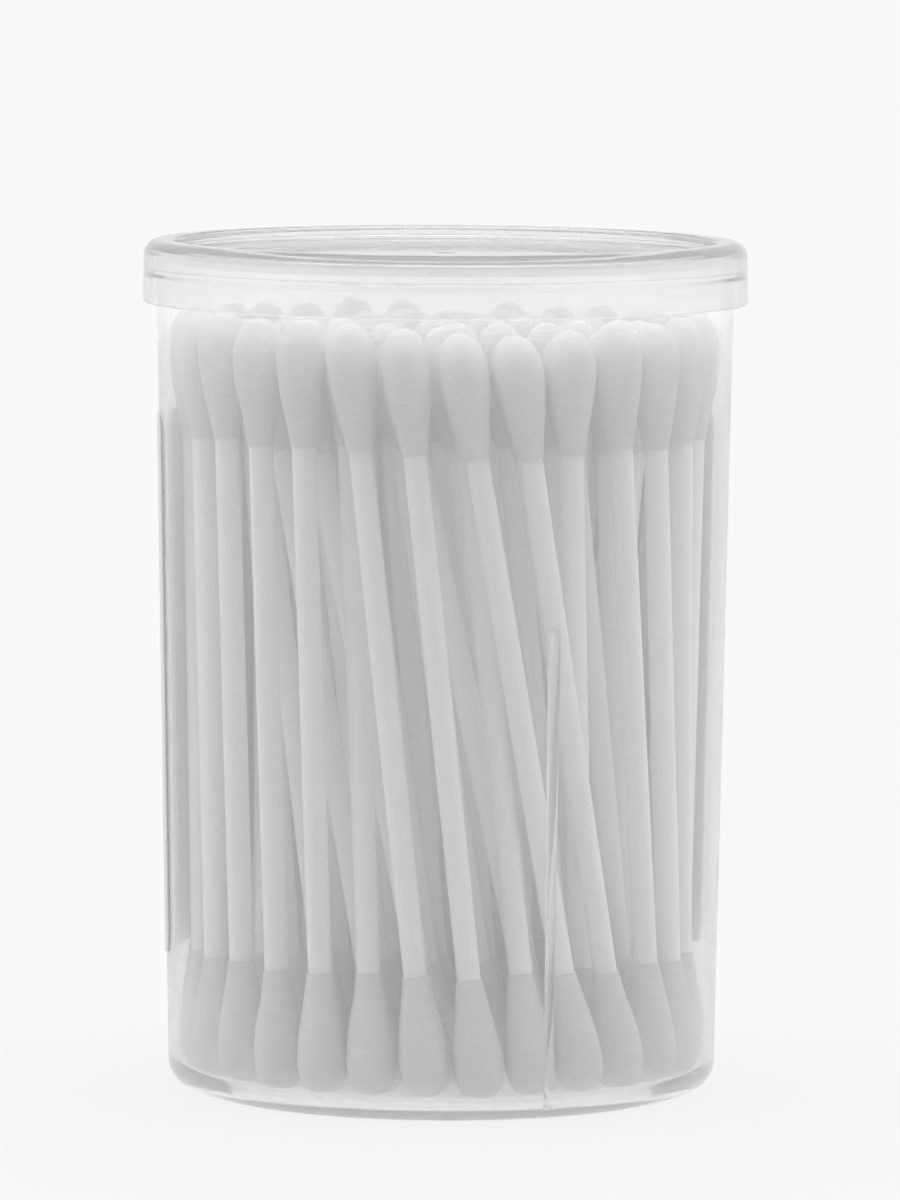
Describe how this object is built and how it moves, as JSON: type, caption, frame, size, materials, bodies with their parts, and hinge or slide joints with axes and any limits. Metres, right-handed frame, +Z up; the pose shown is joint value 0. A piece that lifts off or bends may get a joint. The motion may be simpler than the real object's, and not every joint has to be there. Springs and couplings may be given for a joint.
{
  "type": "cotton swab tub",
  "caption": "Round clear plastic tub of double-ended cotton swabs standing on end, closed by a recessed push-on lid, with a plain paper label round its back.",
  "frame": {"origin": "centre of the tub's standing ring, on the table", "axes": "+Z up the tub's axis towards the lid, -Y towards the front, where the swabs show clear of the label, +X to the right"},
  "size_m": [0.06, 0.06, 0.0844],
  "materials": {
    "clear_plastic": "clear, smooth and glossy",
    "lid_plastic": "clear with a slight milky haze, glossy",
    "label_paper": "matt, unprinted",
    "stick_paper": "smooth rolled paper",
    "cotton": "wound cotton, soft and fuzzy"
  },
  "bodies": {
    "tub": {"tub": "clear_plastic", "label": "label_paper", "sticks_ring_1": "stick_paper", "sticks_ring_2": "stick_paper", "sticks_ring_3": "stick_paper", "sticks_ring_4": "stick_paper", "sticks_ring_5": "stick_paper", "cotton_ring_1": "cotton", "cotton_ring_2": "cotton", "cotton_ring_3": "cotton", "cotton_ring_4": "cotton", "cotton_ring_5": "cotton"},
    "lid": {"lid": "lid_plastic"}
  },
  "joints": [
    {"name": "lid_lift", "type": "slide", "parent": "tub", "child": "lid", "axis": [0, 0, 1], "range_m": [0, 0.03]}
  ]
}
